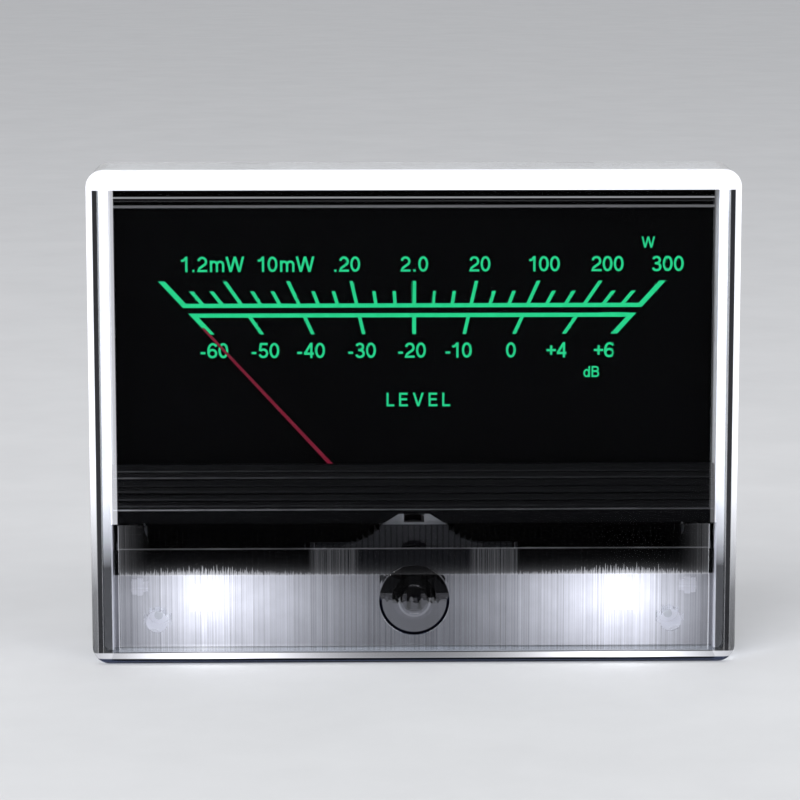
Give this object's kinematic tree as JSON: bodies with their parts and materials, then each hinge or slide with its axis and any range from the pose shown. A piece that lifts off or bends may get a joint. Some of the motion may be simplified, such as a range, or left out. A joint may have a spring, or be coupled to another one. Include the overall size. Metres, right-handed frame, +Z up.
{
  "type": "panel meter",
  "caption": "Lit analog level meter for a panel: clear cover, black dial with green scale, swinging red pointer, moving coil inside, screwdriver zero set.",
  "frame": {"origin": "centre of the four mounting studs, on the flange's rear face where it seats on the panel", "axes": "+X to the right seen from the front, +Y from the front window back through the panel, +Z up"},
  "size_m": [0.134, 0.0481, 0.103],
  "materials": {
    "clear_plastic": "gloss",
    "white_plastic": "satin",
    "reflector_white": "matte",
    "dial_black": "matte",
    "scale_green": "satin",
    "guide_acrylic": "gloss",
    "black_plastic": "satin",
    "smoke_plastic": "satin",
    "board_green": "satin",
    "lamp_white": "satin",
    "resistor_black": "satin",
    "header_cream": "satin",
    "wire_sleeve": "satin",
    "grey_moulding": "satin",
    "bridge_metal": "satin",
    "soft_iron": "satin",
    "magnet_metal": "satin",
    "brass": "satin",
    "screw_steel": "satin",
    "blackened_steel": "satin",
    "stud_steel": "satin",
    "tin_plate": "satin",
    "pointer_crimson": "satin",
    "balance_metal": "satin",
    "coil_aluminium": "satin",
    "coil_copper": "gloss",
    "pivot_steel": "polished",
    "spring_bronze": "gloss"
  },
  "bodies": {
    "case": {"front_cover": "clear_plastic", "rear_case": "white_plastic", "dial_plate": "dial_black", "scale_marks": "scale_green", "light_guide": "guide_acrylic", "movement_hood": "black_plastic", "lamp_reflector": "reflector_white", "light_baffle": "black_plastic", "lamp_board_left": "board_green", "lamp_board_right": "board_green", "lamp_left": "lamp_white", "lamp_right": "lamp_white", "lamp_resistors": "resistor_black", "lamp_header": "header_cream", "lamp_leads": "wire_sleeve", "movement_frame": "grey_moulding", "yoke_ring": "soft_iron", "core_magnet": "magnet_metal", "core_spacers": "brass", "front_bridge": "bridge_metal", "rear_bridge": "bridge_metal", "lever_cover": "smoke_plastic", "front_jewel_screw": "brass", "rear_jewel_screw": "brass", "jewel_lock_nuts": "brass", "bridge_screws": "screw_steel", "frame_screws": "screw_steel", "trim_screws": "screw_steel", "cover_screws": "screw_steel", "mounting_studs": "stud_steel", "terminal_posts": "brass", "terminal_washers": "tin_plate", "solder_lugs": "tin_plate", "terminal_nuts": "brass", "movement_leads": "wire_sleeve", "pointer_stops": "stud_steel"},
    "movement": {"pointer": "pointer_crimson", "pointer_boss": "black_plastic", "balance_cross": "balance_metal", "balance_weights": "brass", "coil_former": "coil_aluminium", "coil_winding": "coil_copper", "front_pivot": "pivot_steel", "rear_pivot": "pivot_steel", "front_hairspring": "spring_bronze", "rear_hairspring": "spring_bronze"},
    "zero_arm": {"zero_lever": "blackened_steel"},
    "zero_knob": {"zero_adjuster": "clear_plastic", "adjuster_clip": "stud_steel"}
  },
  "joints": [
    {"name": "pointer_swing", "type": "hinge", "parent": "case", "child": "movement", "pos_m": [0, 0, -0.0294], "axis": [0, 1, 0], "range_deg": [-3, 88], "stiffness_Nm_per_rad": 0.00002, "deforming": ["front_hairspring", "rear_hairspring"]},
    {"name": "zero_screw_turn", "type": "hinge", "parent": "case", "child": "zero_knob", "pos_m": [0, 0, -0.038], "axis": [0, 1, 0], "range_deg": [-60, 60]},
    {"name": "zero_arm_shift", "type": "hinge", "parent": "case", "child": "zero_arm", "pos_m": [0, 0, -0.0294], "axis": [0, 1, 0], "range_deg": [-10, 10]}
  ],
  "couplings": [
    {"joint": "zero_arm_shift", "follows": "zero_screw_turn", "ratio": 0.1381}
  ]
}
